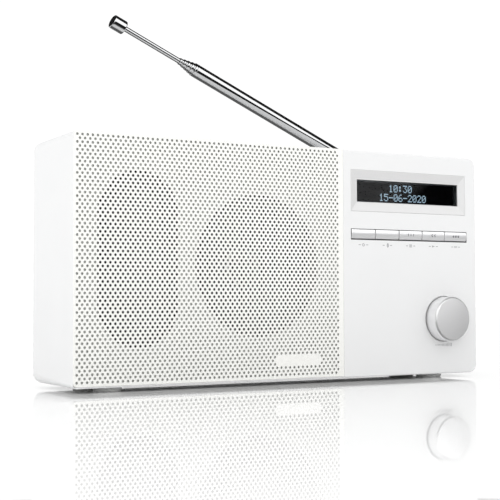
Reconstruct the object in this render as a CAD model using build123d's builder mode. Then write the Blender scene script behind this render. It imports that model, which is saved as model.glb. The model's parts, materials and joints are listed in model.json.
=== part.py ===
from build123d import *
import math
import os

# Tabletop radio: a plastic cabinet with a perforated steel grille over a speaker and a
# passive radiator on the left, a display, five buttons and a push-and-turn knob on the
# right, and a telescopic antenna on a swivel at the back.
#
# Frame: +X to the right, the front faces -Y, +Z up. The origin is on the resting plane,
# under the middle of the cabinet. Millimetres throughout.

# ---------------------------------------------------------------- driving dimensions
BODY_W = 262.0
BODY_H = 130.0
BODY_D = 58.0
FOOT_H = 2.5
WALL = 3.0
FRONT_WALL = 4.0
BODY_R = 5.5
GRILLE_SIDE_R = 2.0
CAVITY_R = 3.0
BACK_RIM_R = 1.2
FRONT_EDGE_R = 1.0

GLUE_GAP = 0.1
SLIDE_GAP = 0.35
SHAFT_GAP = 0.05

GRILLE_T = 1.0
GRILLE_LIP = 1.0
CONTROL_ZONE_W = 98.2

RADIATOR_FROM_LEFT = 36.0
RADIATOR_W = 46.0
RADIATOR_H = 92.0
RADIATOR_RISE = 0.5
SPEAKER_FROM_RADIATOR = 71.8
SPEAKER_R = 38.8
SPEAKER_RISE = -2.1
SPEAKER_FLANGE_W = 4.6
RADIATOR_BAND = 5.0
DRIVER_FLANGE_T = 2.0
GASKET_T = 0.5
DRIVER_HOLE_R = 1.4
BASKET_T = 2.0
BASKET_DEPTH = 26.0
BASKET_ARMS = 6
CONE_INSET = 8.0
CONE_T = 1.0
CONE_DEPTH = 14.0
ROLL_H = 2.3
ROLL_T = 0.6
ROLL_W = 7.0
COIL_R = 10.0
COIL_T = 0.3
COIL_GAP = 0.6
SPIDER_T = 0.6
POLE_PLATE_T = 3.0
MAGNET_T = 10.0
MAGNET_BORE_R = 14.0

DISPLAY_W = 84.7
DISPLAY_H = 24.0
DISPLAY_FROM_RIGHT = 50.5
DISPLAY_FROM_TOP = 23.1
WINDOW_W = 74.8
WINDOW_H = 12.9
WINDOW_DEPTH = 1.7
FRAME_DISH = 1.0
FRAME_EDGE = 0.5
BEZEL_T = 3.0
LENS_LAP = 1.6

BUTTON_NAMES = ["power_button", "band_button", "menu_button", "back_button", "preset_button"]
BUTTON_PITCH = 17.1
BUTTON_H = 6.4
BUTTON_FROM_TOP = 48.3
BUTTON_PROUD = 0.5
BUTTON_TRAVEL = 0.6
BUTTON_EDGE_R = 0.45
SWITCH_W = 6.0
SWITCH_T = 3.5
STEM_R = 1.7

KNOB_D = 26.0
KNOB_PROUD = 9.0
KNOB_FROM_RIGHT = 25.7
KNOB_FROM_BOTTOM = 32.6
KNOB_RECESS = 1.2
KNOB_RING = 0.7
KNOB_TRAVEL = 0.5
KNOB_SHELL = 1.2
KNOB_CHAMFER = 0.8
SHAFT_R = 3.0
BUSHING_R = 3.5

BOARD_T = 1.6
COVER_T = 2.5
COVER_INSET = 1.0
COVER_GAP = 0.2
COVER_HEAD_R = 2.7
COVER_SINK_R = 3.0
COVER_SINK = 1.2
COVER_SCREW_L = 11.2
CLEARANCE_HOLE_R = 1.6
BOSS_R = 3.6
BOSS_INSET = 3.4
PILOT_R = 1.2
SCREW_HEAD_R = 2.3
SCREW_HEAD_T = 1.5
BOARD_SCREW_BITE = 5.0

FOOT_R = 7.5
FOOT_SPREAD_X = 212.0
FOOT_FROM_FACE = 15.5
FOOT_POCKET = 0.6
FOOT_CHAMFER = 0.5

ANTENNA_FROM_RIGHT = 19.0
ANTENNA_FROM_TOP = 10.6
ANTENNA_RISE_DEG = 23.6
MAST_OFFSET = 9.0
MAST_D = 8.2
MAST_STEP = 1.0
MAST_CLEARANCE = 0.07
MAST_START = 9.0
MAST_END = 154.0
MAST_RINGS = 2.5
MAST_SECTIONS = 5
SECTION_LENGTH = 138.0
ROD_SHOWN = 38.5
TIP_LENGTH = 8.4

# ---------------------------------------------------------------- places worked out from them
LEFT = -BODY_W / 2
RIGHT = BODY_W / 2
FRONT = -BODY_D / 2
BACK = BODY_D / 2
BOTTOM = FOOT_H
TOP = FOOT_H + BODY_H
MIDDLE = (BOTTOM + TOP) / 2
BAFFLE_BACK = FRONT + FRONT_WALL
COVER_BACK = BACK - COVER_INSET
COVER_FRONT = COVER_BACK - COVER_T
GRILLE_RIGHT = RIGHT - CONTROL_ZONE_W
GRILLE_BOTTOM = BOTTOM + GRILLE_LIP
RADIATOR = (LEFT + RADIATOR_FROM_LEFT, MIDDLE + RADIATOR_RISE)
SPEAKER = (RADIATOR[0] + SPEAKER_FROM_RADIATOR, MIDDLE + SPEAKER_RISE)
DISPLAY = (RIGHT - DISPLAY_FROM_RIGHT, TOP - DISPLAY_FROM_TOP)
BUTTONS = (DISPLAY[0] + 0.5, TOP - BUTTON_FROM_TOP)
KNOB = (RIGHT - KNOB_FROM_RIGHT, BOTTOM + KNOB_FROM_BOTTOM)
COVER_SCREWS_X = BODY_W / 2 - WALL - BOSS_INSET
COVER_SCREWS_Z = BODY_H - 2 * (WALL + BOSS_INSET)

os.makedirs("parts", exist_ok=True)


def save(piece, name):
    """Label a finished piece and write its STEP file."""
    piece.part.label = name
    export_step(piece.part, f"parts/{name}.step")


def at_depth(y):
    """Sketch plane at depth y: local x is +X, local y is +Z, a negative extrusion goes back."""
    return Plane.XZ.offset(-y)


def about(centre):
    """Sketch plane for a profile turned about the front-to-back axis through centre (x, z)."""
    return Plane(origin=(centre[0], 0, centre[1]), x_dir=(1, 0, 0), z_dir=(0, 0, 1))


def axis_of(centre):
    """The front-to-back axis through centre (x, z)."""
    return Axis((centre[0], 0, centre[1]), (0, 1, 0))


def block(centre, width, height, front, back, mode=Mode.ADD):
    """Box of the active part, centred on (x, z), from depth front to depth back."""
    with BuildSketch(at_depth(front)) as profile:
        with Locations(centre):
            Rectangle(width, height)
    extrude(profile.sketch, amount=front - back, mode=mode)


def disc(centre, radius, front, back, mode=Mode.ADD):
    """Cylinder of the active part, centred on (x, z), from depth front to depth back."""
    with BuildSketch(at_depth(front)) as profile:
        with Locations(centre):
            Circle(radius)
    extrude(profile.sketch, amount=front - back, mode=mode)


def ring(centre, outer, inner, front, back):
    """Tube of the active part, centred on (x, z), from depth front to depth back."""
    with BuildSketch(at_depth(front)) as profile:
        with Locations(centre):
            Circle(outer)
            Circle(inner, mode=Mode.SUBTRACT)
    extrude(profile.sketch, amount=front - back)


def turned(centre, points):
    """Closed profile of (radius, depth) points, turned about the axis through centre."""
    with BuildSketch(about(centre)) as profile:
        with BuildLine():
            Polyline(*points, close=True)
        make_face()
    revolve(profile.sketch, axis=axis_of(centre))


def cabinet_outline(left_radius, right_radius):
    """The cabinet seen from the front, with its own radius at each side's corners."""
    with Locations((0, MIDDLE)):
        Rectangle(BODY_W, BODY_H)
    corners = vertices().sort_by(Axis.X)
    fillet(corners[:2], left_radius)
    corners = vertices().sort_by(Axis.X)
    fillet(corners[-2:], right_radius)


# ---------------------------------------------------------------- control group depths
LCD_FRONT = FRONT + FRONT_WALL + 0.4
LCD_T = 6.0
BOARD_FRONT = LCD_FRONT + LCD_T
BOARD_BACK = BOARD_FRONT + BOARD_T
SWITCH_FRONT = BOARD_FRONT - SWITCH_T
STEM_BACK = SWITCH_FRONT + 1.1
STEM_HOLE_BACK = STEM_BACK + BUTTON_TRAVEL + 0.4
BUTTON_FLANGE_FRONT = BAFFLE_BACK + SLIDE_GAP
BUTTON_FLANGE_T = 1.0
BUTTON_FLANGE_LAP = 1.0
BUTTON_W = BUTTON_PITCH - SLIDE_GAP
BUTTON_STRIP_W = len(BUTTON_NAMES) * BUTTON_PITCH + SLIDE_GAP
BUTTON_CENTRES = [
    (BUTTONS[0] + (n - (len(BUTTON_NAMES) - 1) / 2) * BUTTON_PITCH, BUTTONS[1])
    for n in range(len(BUTTON_NAMES))
]
CONTROL_BOARD_W = 87.0
CONTROL_BOARD_H = BODY_H - 30.0
CONTROL_BOARD = (RIGHT - 50.0, MIDDLE)
SCREWS_LOW = CONTROL_BOARD[1] - CONTROL_BOARD_H / 2 + 4
SCREWS_HIGH = BUTTONS[1] + 9.8
CONTROL_SCREWS = (CONTROL_BOARD[0], (SCREWS_LOW + SCREWS_HIGH) / 2)
CONTROL_SCREW_GRID = (CONTROL_BOARD_W - 8, SCREWS_HIGH - SCREWS_LOW)
STANDOFF_R = 3.0
ENCODER_W = 12.0
ENCODER_FRONT = BAFFLE_BACK + 0.4
BUSHING_FRONT = FRONT - 3.0
RECESS_FLOOR = FRONT + KNOB_RECESS
NUT_T = 2.0
NUT_R = 5.5

# ---------------------------------------------------------------- rear group depths
MAIN_BOARD_W = 79.0
MAIN_BOARD_H = 70.0
MAIN_BOARD = (RIGHT - 51.5, BOTTOM + 46.5)
MAIN_BOARD_FRONT = COVER_FRONT - 17.5
MAIN_BOARD_BACK = MAIN_BOARD_FRONT + BOARD_T
MAIN_BOARD_SCREWS = (MAIN_BOARD_W - 8, MAIN_BOARD_H - 8)
JACK_FROM_BOTTOM = 26.0
DC_INLET = (RIGHT - 23.0, BOTTOM + JACK_FROM_BOTTOM)
HEADPHONE = (RIGHT - 43.0, BOTTOM + JACK_FROM_BOTTOM)
AUX = (RIGHT - 59.0, BOTTOM + JACK_FROM_BOTTOM)
DC_NOSE_R = 4.2
PHONE_NOSE_R = 3.2
NOSE_CLEARANCE = 0.3
PHONE_BORE_R = 1.8
PHONE_BORE_LENGTH = 14.0
DIVIDER_T = 2.0
DIVIDER_X = GRILLE_RIGHT + 1.6
WIRE_HOLE_R = 2.0
WIRE_HOLE_RISE = 30.0

# ---------------------------------------------------------------- antenna places
SWIVEL = (RIGHT - ANTENNA_FROM_RIGHT, TOP - ANTENNA_FROM_TOP)
BUSH_R = 4.9
BUSH_FLANGE_R = 7.2
BUSH_FLANGE_T = 1.5
BUSH_INSIDE = 1.0
SWIVEL_R = 8.0
SWIVEL_T = 3.0
STUD_R = 4.0
RETAINER_R = 6.0
RETAINER_T = 1.0
RETAINER_BITE = 6.0
TIP_EDGE_R = 0.8
PLUG_LENGTH = 6.0
SWIVEL_FRONT = COVER_BACK + BUSH_FLANGE_T + 0.3
SWIVEL_BACK = SWIVEL_FRONT + SWIVEL_T
LUG_T = 4.0
LUG_R = 3.6
LUG_GAP = 0.3
EAR_T = 2.3
PIN_R = 1.5
MAST_Y = COVER_BACK + MAST_OFFSET
RISE = math.radians(ANTENNA_RISE_DEG)
MAST_DIR = Vector(-math.cos(RISE), 0, math.sin(RISE))
PIN_DIR = Vector(math.sin(RISE), 0, math.cos(RISE))
PIVOT = Vector(SWIVEL[0], MAST_Y, SWIVEL[1])


def mast_plane(distance):
    """Sketch plane square to the mast, at a distance from the tilt pin."""
    return Plane(origin=PIVOT + MAST_DIR * distance, x_dir=PIN_DIR, z_dir=MAST_DIR)


# ---------------------------------------------------------------- cabinet
with BuildPart() as cabinet:
    # Outer shape: nearly square corners beside the grille, rounder ones everywhere else
    with BuildSketch(at_depth(BACK)):
        cabinet_outline(BODY_R, BODY_R)
    with BuildSketch(at_depth(FRONT)):
        cabinet_outline(GRILLE_SIDE_R, BODY_R)
    loft()
    back_face = cabinet.faces().sort_by(Axis.Y)[-1]
    fillet(back_face.outer_wire().edges(), BACK_RIM_R)
    front_face = cabinet.faces().sort_by(Axis.Y)[0]
    fillet(front_face.outer_wire().edges(), FRONT_EDGE_R)
    # Inside of the shell, open at the back
    with BuildSketch(at_depth(BAFFLE_BACK)):
        with Locations((0, MIDDLE)):
            RectangleRounded(BODY_W - 2 * WALL, BODY_H - 2 * WALL, CAVITY_R)
    extrude(amount=BAFFLE_BACK - BACK, mode=Mode.SUBTRACT)
    # Posts for the rear cover and stand-offs for the control board
    with BuildSketch(at_depth(BAFFLE_BACK)):
        with Locations((0, MIDDLE)):
            with GridLocations(COVER_SCREWS_X, COVER_SCREWS_Z, 3, 2):
                Circle(BOSS_R)
    extrude(amount=BAFFLE_BACK - COVER_FRONT)
    with BuildSketch(at_depth(COVER_FRONT)):
        with Locations((0, MIDDLE)):
            with GridLocations(COVER_SCREWS_X, COVER_SCREWS_Z, 3, 2):
                Circle(PILOT_R)
    extrude(amount=COVER_SCREW_L, mode=Mode.SUBTRACT)
    with BuildSketch(at_depth(BAFFLE_BACK)):
        with Locations(CONTROL_SCREWS):
            with GridLocations(*CONTROL_SCREW_GRID, 2, 2):
                Circle(STANDOFF_R)
    extrude(amount=BAFFLE_BACK - BOARD_FRONT)
    with BuildSketch(at_depth(BOARD_FRONT)):
        with Locations(CONTROL_SCREWS):
            with GridLocations(*CONTROL_SCREW_GRID, 2, 2):
                Circle(PILOT_R)
    extrude(amount=BOARD_SCREW_BITE + 1, mode=Mode.SUBTRACT)
    # Rebate that the grille sheet lies in, open at the top and at the left side
    rebate_w = GRILLE_RIGHT + GLUE_GAP - LEFT + 1
    rebate_h = TOP - GRILLE_BOTTOM + GLUE_GAP + 1
    block((LEFT - 1 + rebate_w / 2, TOP + 1 - rebate_h / 2), rebate_w, rebate_h,
          FRONT, FRONT + GRILLE_T, Mode.SUBTRACT)
    # Openings for the speaker, the radiator, the display, the buttons and the knob
    disc(SPEAKER, SPEAKER_R, FRONT, BAFFLE_BACK, Mode.SUBTRACT)
    with BuildSketch(at_depth(FRONT)):
        with Locations(RADIATOR):
            SlotOverall(RADIATOR_H, RADIATOR_W, rotation=90)
    extrude(amount=-FRONT_WALL, mode=Mode.SUBTRACT)
    block(DISPLAY, DISPLAY_W, DISPLAY_H, FRONT, FRONT + BEZEL_T, Mode.SUBTRACT)
    block(DISPLAY, WINDOW_W + 4, WINDOW_H + 4, FRONT, BAFFLE_BACK, Mode.SUBTRACT)
    block(BUTTONS, BUTTON_STRIP_W, BUTTON_H, FRONT, BAFFLE_BACK, Mode.SUBTRACT)
    disc(KNOB, KNOB_D / 2 + KNOB_RING, FRONT, RECESS_FLOOR, Mode.SUBTRACT)
    disc(KNOB, BUSHING_R + 0.2, FRONT, BAFFLE_BACK, Mode.SUBTRACT)
    # Shallow pockets that the feet are glued into
    with BuildSketch(Plane.XY.offset(BOTTOM)):
        with GridLocations(FOOT_SPREAD_X, BODY_D - 2 * FOOT_FROM_FACE, 2, 2):
            Circle(FOOT_R + GLUE_GAP)
    extrude(amount=FOOT_POCKET, mode=Mode.SUBTRACT)
save(cabinet, "cabinet")

with BuildPart() as rear_cover:
    cover_w = BODY_W - 2 * WALL - 2 * COVER_GAP
    cover_h = BODY_H - 2 * WALL - 2 * COVER_GAP
    with BuildSketch(at_depth(COVER_FRONT)):
        with Locations((0, MIDDLE)):
            RectangleRounded(cover_w, cover_h, CAVITY_R)
    extrude(amount=-COVER_T)
    with BuildSketch(at_depth(COVER_FRONT)):
        with Locations(MAIN_BOARD):
            with GridLocations(*MAIN_BOARD_SCREWS, 2, 2):
                Circle(STANDOFF_R)
    extrude(amount=COVER_FRONT - MAIN_BOARD_BACK)
    with BuildSketch(at_depth(MAIN_BOARD_BACK)):
        with Locations(MAIN_BOARD):
            with GridLocations(*MAIN_BOARD_SCREWS, 2, 2):
                Circle(PILOT_R)
    extrude(amount=-BOARD_SCREW_BITE - 3, mode=Mode.SUBTRACT)
    # Sunk screw holes round the edge
    with BuildSketch(at_depth(COVER_BACK)):
        with Locations((0, MIDDLE)):
            with GridLocations(COVER_SCREWS_X, COVER_SCREWS_Z, 3, 2):
                Circle(COVER_SINK_R)
    extrude(amount=COVER_SINK, mode=Mode.SUBTRACT)
    with BuildSketch(at_depth(COVER_BACK)):
        with Locations((0, MIDDLE)):
            with GridLocations(COVER_SCREWS_X, COVER_SCREWS_Z, 3, 2):
                Circle(CLEARANCE_HOLE_R)
    extrude(amount=COVER_T, mode=Mode.SUBTRACT)
    disc(DC_INLET, DC_NOSE_R + NOSE_CLEARANCE, COVER_FRONT, COVER_BACK, Mode.SUBTRACT)
    for jack in (HEADPHONE, AUX):
        disc(jack, PHONE_NOSE_R + NOSE_CLEARANCE, COVER_FRONT, COVER_BACK, Mode.SUBTRACT)
    disc(SWIVEL, BUSH_R + GLUE_GAP, COVER_FRONT, COVER_BACK, Mode.SUBTRACT)
save(rear_cover, "rear_cover")

with BuildPart() as cover_screws:
    with BuildSketch(at_depth(COVER_BACK)):
        with Locations((0, MIDDLE)):
            with GridLocations(COVER_SCREWS_X, COVER_SCREWS_Z, 3, 2):
                Circle(COVER_HEAD_R)
    extrude(amount=COVER_SINK)
    with BuildSketch(at_depth(COVER_BACK - COVER_SINK)):
        with Locations((0, MIDDLE)):
            with GridLocations(COVER_SCREWS_X, COVER_SCREWS_Z, 3, 2):
                Circle(PILOT_R)
    extrude(amount=COVER_SCREW_L - COVER_SINK)
save(cover_screws, "cover_screws")

# The holes of the grille are left out of this solid; the sheet is solid metal between edges
with BuildPart() as speaker_grille:
    sheet_w = GRILLE_RIGHT - LEFT
    sheet_h = TOP - GRILLE_BOTTOM
    with BuildSketch(at_depth(FRONT)):
        with Locations((LEFT + sheet_w / 2, TOP - sheet_h / 2)):
            Rectangle(sheet_w, sheet_h)
        fillet(vertices().sort_by(Axis.X)[:2], GRILLE_SIDE_R)
    extrude(amount=-GRILLE_T)
save(speaker_grille, "speaker_grille")

with BuildPart() as feet:
    with BuildSketch(Plane.XY):
        with GridLocations(FOOT_SPREAD_X, BODY_D - 2 * FOOT_FROM_FACE, 2, 2):
            Circle(FOOT_R)
    extrude(amount=FOOT_H + FOOT_POCKET)
    chamfer(feet.faces().filter_by(Plane.XY).group_by(Axis.Z)[0].edges(), FOOT_CHAMFER)
save(feet, "feet")

# ---------------------------------------------------------------- speaker
def driver_screw_circles(radius):
    """Four screw places on the speaker's flange."""
    with Locations(SPEAKER):
        with PolarLocations(SPEAKER_R + SPEAKER_FLANGE_W / 2, 4, 45):
            Circle(radius)


def radiator_screw_circles(radius):
    """Six screw places on the radiator's frame: two on each side and one at each end."""
    sides = RADIATOR_W / 2 + RADIATOR_BAND / 2
    ends = RADIATOR_H / 2 + RADIATOR_BAND / 2
    with Locations(RADIATOR):
        with GridLocations(2 * sides, RADIATOR_H - RADIATOR_W, 2, 2):
            Circle(radius)
        with GridLocations(1, 2 * ends, 1, 2):
            Circle(radius)


FLANGE_R = SPEAKER_R + SPEAKER_FLANGE_W
FLANGE_LIP_R = SPEAKER_R - 2.5
CONE_R = SPEAKER_R - CONE_INSET
BASKET_BACK_R = SPEAKER_R - 8.8
SPIDER_R = BASKET_BACK_R - BASKET_T
FLANGE_FRONT = BAFFLE_BACK + GASKET_T
FLANGE_BACK = FLANGE_FRONT + DRIVER_FLANGE_T
BASKET_BACK = BAFFLE_BACK + BASKET_DEPTH
COIL_FRONT = BAFFLE_BACK + CONE_DEPTH + CONE_T
SPIDER_FRONT = COIL_FRONT + 4.0
TOP_PLATE_BACK = BASKET_BACK + POLE_PLATE_T
MAGNET_BACK = TOP_PLATE_BACK + MAGNET_T
COIL_BACK = TOP_PLATE_BACK - 1.0

with BuildPart() as speaker_gasket:
    ring(SPEAKER, FLANGE_R, SPEAKER_R + COVER_GAP, BAFFLE_BACK, FLANGE_FRONT)
    with BuildSketch(at_depth(BAFFLE_BACK)):
        driver_screw_circles(DRIVER_HOLE_R)
    extrude(amount=-GASKET_T, mode=Mode.SUBTRACT)
save(speaker_gasket, "speaker_gasket")

with BuildPart() as speaker_basket:
    # A flange, a sloping wall and a back plate with a hole for the voice coil
    neck_r = COIL_R + 2.0
    turned(SPEAKER, [
        (FLANGE_LIP_R, FLANGE_FRONT), (FLANGE_R, FLANGE_FRONT), (FLANGE_R, FLANGE_BACK),
        (SPEAKER_R, FLANGE_BACK), (BASKET_BACK_R, BASKET_BACK - BASKET_T),
        (BASKET_BACK_R, BASKET_BACK), (neck_r, BASKET_BACK),
        (neck_r, BASKET_BACK - 1.5), (BASKET_BACK_R - 1.5, BASKET_BACK - 1.5),
        (FLANGE_LIP_R, FLANGE_BACK)])
    # Windows between the sloping arms
    window_w = 2 * math.pi * BASKET_BACK_R / BASKET_ARMS - 5.4
    with BuildSketch(at_depth(BAFFLE_BACK + 8)):
        with Locations(SPEAKER):
            with PolarLocations(BASKET_BACK_R, BASKET_ARMS):
                Rectangle(window_w, 16)
    extrude(amount=-14, mode=Mode.SUBTRACT)
    with BuildSketch(at_depth(FLANGE_BACK)):
        driver_screw_circles(DRIVER_HOLE_R)
    extrude(amount=DRIVER_FLANGE_T, mode=Mode.SUBTRACT)
save(speaker_basket, "speaker_basket")

with BuildPart() as speaker_surround:
    with BuildSketch(about(SPEAKER)):
        with BuildLine():
            crest_r = (FLANGE_LIP_R + CONE_R) / 2
            front_feet = ((FLANGE_LIP_R, FLANGE_FRONT), (CONE_R, FLANGE_FRONT))
            back_feet = ((CONE_R, FLANGE_FRONT + ROLL_T), (FLANGE_LIP_R, FLANGE_FRONT + ROLL_T))
            ThreePointArc(front_feet[0], (crest_r, FLANGE_FRONT - ROLL_H), front_feet[1])
            Line(front_feet[1], back_feet[0])
            ThreePointArc(back_feet[0], (crest_r, FLANGE_FRONT + ROLL_T - ROLL_H), back_feet[1])
            Line(back_feet[1], front_feet[0])
        make_face()
    revolve(axis=axis_of(SPEAKER))
save(speaker_surround, "speaker_surround")

with BuildPart() as speaker_cone:
    turned(SPEAKER, [
        (CONE_R, FLANGE_FRONT), (CONE_R, FLANGE_FRONT + CONE_T),
        (COIL_R, COIL_FRONT), (COIL_R, COIL_FRONT - CONE_T)])
save(speaker_cone, "speaker_cone")

with BuildPart() as dust_cap:
    # A shallow dome glued inside the cone's neck, 0.6 to 0.7 thick
    rim = COIL_FRONT - 3.0
    turned(SPEAKER, [
        (0, rim - 3.6), (0.54 * COIL_R, rim - 2.8), (COIL_R, rim), (COIL_R - 0.6, rim + 0.6),
        (0.5 * COIL_R, rim - 2.1), (0, rim - 2.9)])
save(dust_cap, "dust_cap")

with BuildPart() as voice_coil:
    ring(SPEAKER, COIL_R, COIL_R - COIL_T, COIL_FRONT, COIL_BACK)
save(voice_coil, "voice_coil")

with BuildPart() as speaker_spider:
    ring(SPEAKER, SPIDER_R, COIL_R, SPIDER_FRONT, SPIDER_FRONT + SPIDER_T)
save(speaker_spider, "speaker_spider")

with BuildPart() as speaker_top_plate:
    ring(SPEAKER, SPIDER_R, COIL_R + COIL_GAP, BASKET_BACK, TOP_PLATE_BACK)
save(speaker_top_plate, "speaker_top_plate")

with BuildPart() as speaker_magnet:
    ring(SPEAKER, BASKET_BACK_R, MAGNET_BORE_R, TOP_PLATE_BACK, MAGNET_BACK)
save(speaker_magnet, "speaker_magnet")

with BuildPart() as speaker_pole:
    disc(SPEAKER, SPIDER_R, MAGNET_BACK, MAGNET_BACK + POLE_PLATE_T)
    disc(SPEAKER, COIL_R - COIL_T - 0.5, BASKET_BACK, MAGNET_BACK)
save(speaker_pole, "speaker_pole")

# ---------------------------------------------------------------- passive radiator
RADIATOR_LIP = 1.0
RADIATOR_ROLL_H = 2.2
RADIATOR_ROLL_T = 3.2
RADIATOR_ROLL_R = 2.5
RADIATOR_PLATE_T = 1.5
RADIATOR_MASS_T = 4.0
RADIATOR_MASS_MARGIN = 14.5


def racetrack(grow, mode=Mode.ADD):
    """The radiator opening's outline, grown by grow on every side."""
    with Locations(RADIATOR):
        SlotOverall(RADIATOR_H + 2 * grow, RADIATOR_W + 2 * grow, rotation=90, mode=mode)


with BuildPart() as radiator_frame:
    with BuildSketch(at_depth(BAFFLE_BACK)):
        racetrack(RADIATOR_BAND)
        racetrack(-RADIATOR_LIP, Mode.SUBTRACT)
    extrude(amount=-DRIVER_FLANGE_T)
    with BuildSketch(at_depth(BAFFLE_BACK)):
        radiator_screw_circles(DRIVER_HOLE_R)
    extrude(amount=-DRIVER_FLANGE_T, mode=Mode.SUBTRACT)
save(radiator_frame, "radiator_frame")

with BuildPart() as radiator_surround:
    with BuildSketch(at_depth(BAFFLE_BACK - RADIATOR_ROLL_H)):
        racetrack(-RADIATOR_LIP)
        racetrack(-RADIATOR_LIP - ROLL_W, Mode.SUBTRACT)
    extrude(amount=-RADIATOR_ROLL_T)
    fillet(radiator_surround.faces().sort_by(Axis.Y)[0].edges(), RADIATOR_ROLL_R)
save(radiator_surround, "radiator_surround")

with BuildPart() as radiator_plate:
    # A stiff plate with a weight glued behind its middle
    plate_back = BAFFLE_BACK + RADIATOR_PLATE_T - 0.5
    with BuildSketch(at_depth(plate_back - RADIATOR_PLATE_T)):
        racetrack(-RADIATOR_LIP - ROLL_W)
    extrude(amount=-RADIATOR_PLATE_T)
    with BuildSketch(at_depth(plate_back)):
        racetrack(-RADIATOR_MASS_MARGIN)
    extrude(amount=-RADIATOR_MASS_T)
save(radiator_plate, "radiator_plate")

# One kind of screw holds both drivers: its head behind the flange, its shank through it
with BuildPart() as driver_screws:
    for circles, seat in ((driver_screw_circles, FLANGE_BACK),
                          (radiator_screw_circles, BAFFLE_BACK + DRIVER_FLANGE_T)):
        with BuildSketch(at_depth(seat)):
            circles(SCREW_HEAD_R)
        extrude(amount=-SCREW_HEAD_T)
        with BuildSketch(at_depth(seat)):
            circles(PILOT_R)
        extrude(amount=seat - BAFFLE_BACK)
save(driver_screws, "driver_screws")

with BuildPart() as chamber_divider:
    with BuildSketch(Plane.YZ.offset(DIVIDER_X - DIVIDER_T / 2)):
        depth = COVER_FRONT - BAFFLE_BACK - 2 * COVER_GAP
        with Locations(((COVER_FRONT + BAFFLE_BACK) / 2, MIDDLE)):
            Rectangle(depth, BODY_H - 2 * WALL)
        with Locations(((COVER_FRONT + BAFFLE_BACK) / 2, BOTTOM + WIRE_HOLE_RISE)):
            Circle(WIRE_HOLE_R, mode=Mode.SUBTRACT)
    extrude(amount=DIVIDER_T)
save(chamber_divider, "chamber_divider")

# ---------------------------------------------------------------- display
with BuildPart() as display_bezel:
    block(DISPLAY, DISPLAY_W - 2 * GLUE_GAP, DISPLAY_H - 2 * GLUE_GAP, FRONT, FRONT + BEZEL_T)
    # The front slopes in like a picture frame; behind the window is the lens's pocket
    with BuildSketch(at_depth(FRONT)):
        with Locations(DISPLAY):
            Rectangle(DISPLAY_W - 2 * FRAME_EDGE, DISPLAY_H - 2 * FRAME_EDGE)
    with BuildSketch(at_depth(FRONT + FRAME_DISH)):
        with Locations(DISPLAY):
            Rectangle(WINDOW_W + 2 * FRAME_EDGE, WINDOW_H + 2 * FRAME_EDGE)
    loft(mode=Mode.SUBTRACT)
    block(DISPLAY, WINDOW_W, WINDOW_H, FRONT, FRONT + BEZEL_T, Mode.SUBTRACT)
    block(DISPLAY, WINDOW_W + 2 * LENS_LAP, WINDOW_H + 2 * LENS_LAP,
          FRONT + WINDOW_DEPTH, FRONT + BEZEL_T, Mode.SUBTRACT)
save(display_bezel, "display_bezel")

with BuildPart() as display_lens:
    lens_w = WINDOW_W + 2 * LENS_LAP - 2 * GLUE_GAP
    lens_h = WINDOW_H + 2 * LENS_LAP - 2 * GLUE_GAP
    block(DISPLAY, lens_w, lens_h, FRONT + WINDOW_DEPTH, FRONT + BEZEL_T)
save(display_lens, "display_lens")

LCD_W = 82.0
LCD_H = 20.0
LCD_GLASS_T = 1.8
LCD_SHELL = 0.4

with BuildPart() as lcd_glass:
    block(DISPLAY, LCD_W - 2 * LCD_SHELL, LCD_H - 2 * LCD_SHELL,
          LCD_FRONT + LCD_SHELL, LCD_FRONT + LCD_SHELL + LCD_GLASS_T)
save(lcd_glass, "lcd_glass")

with BuildPart() as lcd_backlight:
    block(DISPLAY, LCD_W - 2 * LCD_SHELL, LCD_H - 2 * LCD_SHELL,
          LCD_FRONT + LCD_SHELL + LCD_GLASS_T, BOARD_FRONT)
save(lcd_backlight, "lcd_backlight")

with BuildPart() as lcd_frame:
    block(DISPLAY, LCD_W, LCD_H, LCD_FRONT, BOARD_FRONT)
    block(DISPLAY, LCD_W - 2 * LCD_SHELL, LCD_H - 2 * LCD_SHELL,
          LCD_FRONT + LCD_SHELL, BOARD_FRONT, Mode.SUBTRACT)
    block(DISPLAY, WINDOW_W - 2, WINDOW_H - 1, LCD_FRONT, BOARD_FRONT, Mode.SUBTRACT)
save(lcd_frame, "lcd_frame")

# ---------------------------------------------------------------- buttons and their switches
for name, centre in zip(BUTTON_NAMES, BUTTON_CENTRES):
    with BuildPart() as button:
        block(centre, BUTTON_W, BUTTON_H - 2 * SLIDE_GAP, FRONT - BUTTON_PROUD, BUTTON_FLANGE_FRONT)
        fillet(button.faces().sort_by(Axis.Y)[0].edges(), BUTTON_EDGE_R)
        block(centre, BUTTON_W, BUTTON_H + 2 * BUTTON_FLANGE_LAP,
              BUTTON_FLANGE_FRONT, BUTTON_FLANGE_FRONT + BUTTON_FLANGE_T)
        disc(centre, STEM_R, BUTTON_FLANGE_FRONT + BUTTON_FLANGE_T, STEM_BACK)
    save(button, name)

with BuildPart() as switch_bodies:
    with BuildSketch(at_depth(SWITCH_FRONT)):
        with Locations(*BUTTON_CENTRES):
            Rectangle(SWITCH_W, SWITCH_W)
    extrude(amount=-SWITCH_T)
    with BuildSketch(at_depth(SWITCH_FRONT)):
        with Locations(*BUTTON_CENTRES):
            Circle(STEM_R + SHAFT_GAP)
    extrude(amount=SWITCH_FRONT - STEM_HOLE_BACK, mode=Mode.SUBTRACT)
save(switch_bodies, "switch_bodies")

with BuildPart() as control_board:
    block(CONTROL_BOARD, CONTROL_BOARD_W, CONTROL_BOARD_H, BOARD_FRONT, BOARD_BACK)
    with BuildSketch(at_depth(BOARD_FRONT)):
        with Locations(CONTROL_SCREWS):
            with GridLocations(*CONTROL_SCREW_GRID, 2, 2):
                Circle(CLEARANCE_HOLE_R)
    extrude(amount=-BOARD_T, mode=Mode.SUBTRACT)
save(control_board, "control_board")

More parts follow.
